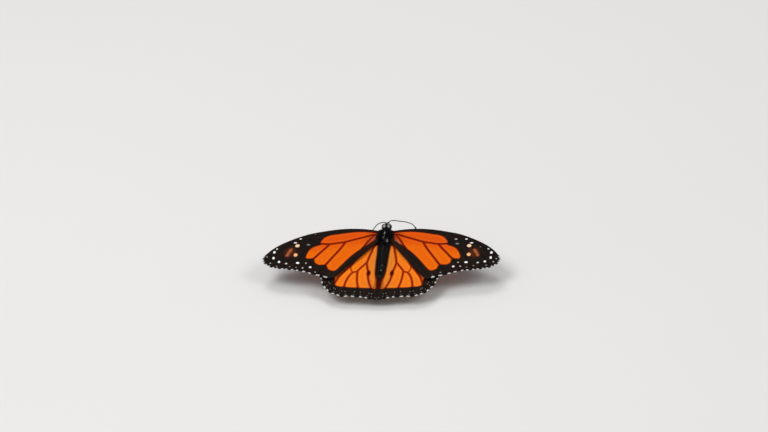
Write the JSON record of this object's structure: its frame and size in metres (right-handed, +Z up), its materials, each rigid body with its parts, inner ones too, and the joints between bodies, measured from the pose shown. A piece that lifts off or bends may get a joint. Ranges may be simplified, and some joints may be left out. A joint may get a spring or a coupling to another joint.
{
  "type": "monarch butterfly",
  "caption": "Life-size monarch butterfly, orange wings with black veins and white-dotted borders spread flat, standing on its legs with the head slightly raised.",
  "frame": {"origin": "on the floor under the middle of the model's box", "axes": "+X to the butterfly's right, along the wingspan; +Y the way it faces; +Z up"},
  "size_m": [0.099, 0.0493, 0.0136],
  "materials": {
    "forewing_scales": "matte overlapping wing scales, orange cells, near-black veins and borders",
    "hindwing_scales": "matte overlapping wing scales, lighter orange cells, near-black veins and borders",
    "body_coat": "short black hair and scales with white dots",
    "eye": "glossy black, finely faceted",
    "limb_shell": "satin black shell with small scales and spines"
  },
  "bodies": {
    "root": {"head": "body_coat", "eye_right": "eye", "eye_left": "eye", "palp_right": "body_coat", "palp_left": "body_coat", "proboscis": "limb_shell", "antenna_right": "limb_shell", "antenna_left": "limb_shell", "collar": "body_coat", "thorax": "body_coat", "tegula_right": "body_coat", "tegula_left": "body_coat", "abdomen": "body_coat", "forewing_right": "forewing_scales", "forewing_left": "forewing_scales", "hindwing_right": "hindwing_scales", "hindwing_left": "hindwing_scales", "foreleg_right": "limb_shell", "foreleg_left": "limb_shell", "midleg_right": "limb_shell", "midleg_left": "limb_shell", "hindleg_right": "limb_shell", "hindleg_left": "limb_shell"}
  },
  "joints": []
}
